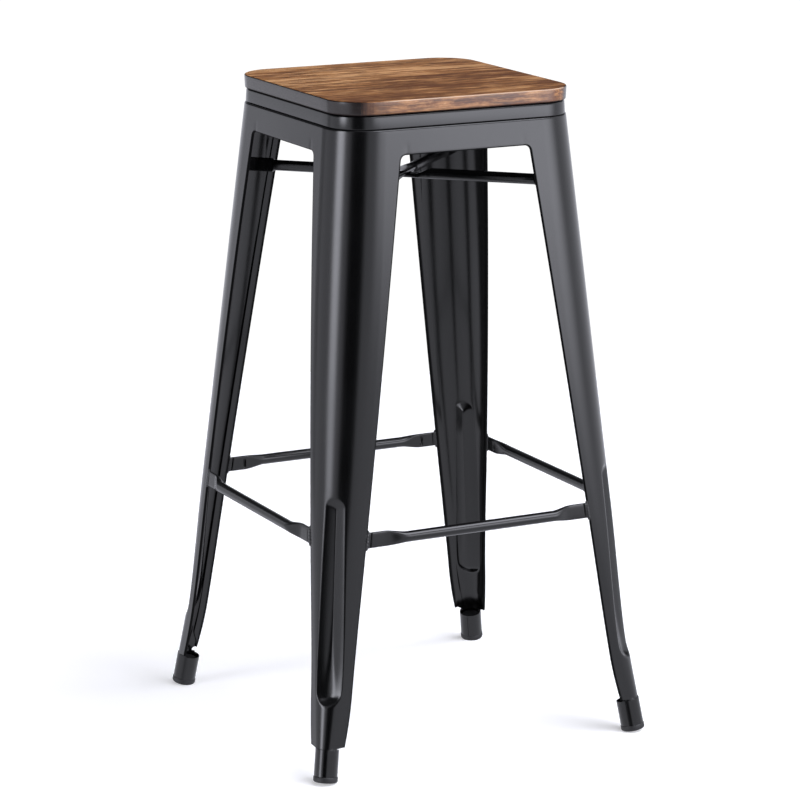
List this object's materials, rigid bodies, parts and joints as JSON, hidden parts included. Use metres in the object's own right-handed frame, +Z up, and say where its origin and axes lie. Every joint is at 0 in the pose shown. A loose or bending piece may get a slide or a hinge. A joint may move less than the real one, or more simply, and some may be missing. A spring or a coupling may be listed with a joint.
{
  "type": "bar stool",
  "caption": "Backless bar stool with a square wood seat on a splayed pressed-steel frame, with footrest stretchers, crossed under-seat braces and plastic foot plugs.",
  "frame": {"origin": "on the floor under the middle of the seat", "axes": "+Z up from the floor to the seat, -Y the front, +X the right side; wood grain runs along X"},
  "size_m": [0.4314, 0.4314, 0.762],
  "materials": {
    "powder_coat": "satin black powder coat",
    "stained_wood": "walnut stain under satin lacquer, end grain sealed charcoal",
    "plug_plastic": "matt moulded plastic",
    "zinc_screw": "bright zinc"
  },
  "bodies": {
    "root": {"leg_front_left": "powder_coat", "leg_front_right": "powder_coat", "leg_back_left": "powder_coat", "leg_back_right": "powder_coat", "apron_front": "powder_coat", "apron_right": "powder_coat", "apron_back": "powder_coat", "apron_left": "powder_coat", "stretcher_front": "powder_coat", "stretcher_right": "powder_coat", "stretcher_back": "powder_coat", "stretcher_left": "powder_coat", "brace_upper": "powder_coat", "brace_lower": "powder_coat", "seat_pan": "powder_coat", "seat_board": "stained_wood", "seat_screws": "zinc_screw", "foot_plug_front_left": "plug_plastic", "foot_plug_front_right": "plug_plastic", "foot_plug_back_left": "plug_plastic", "foot_plug_back_right": "plug_plastic"}
  },
  "joints": []
}
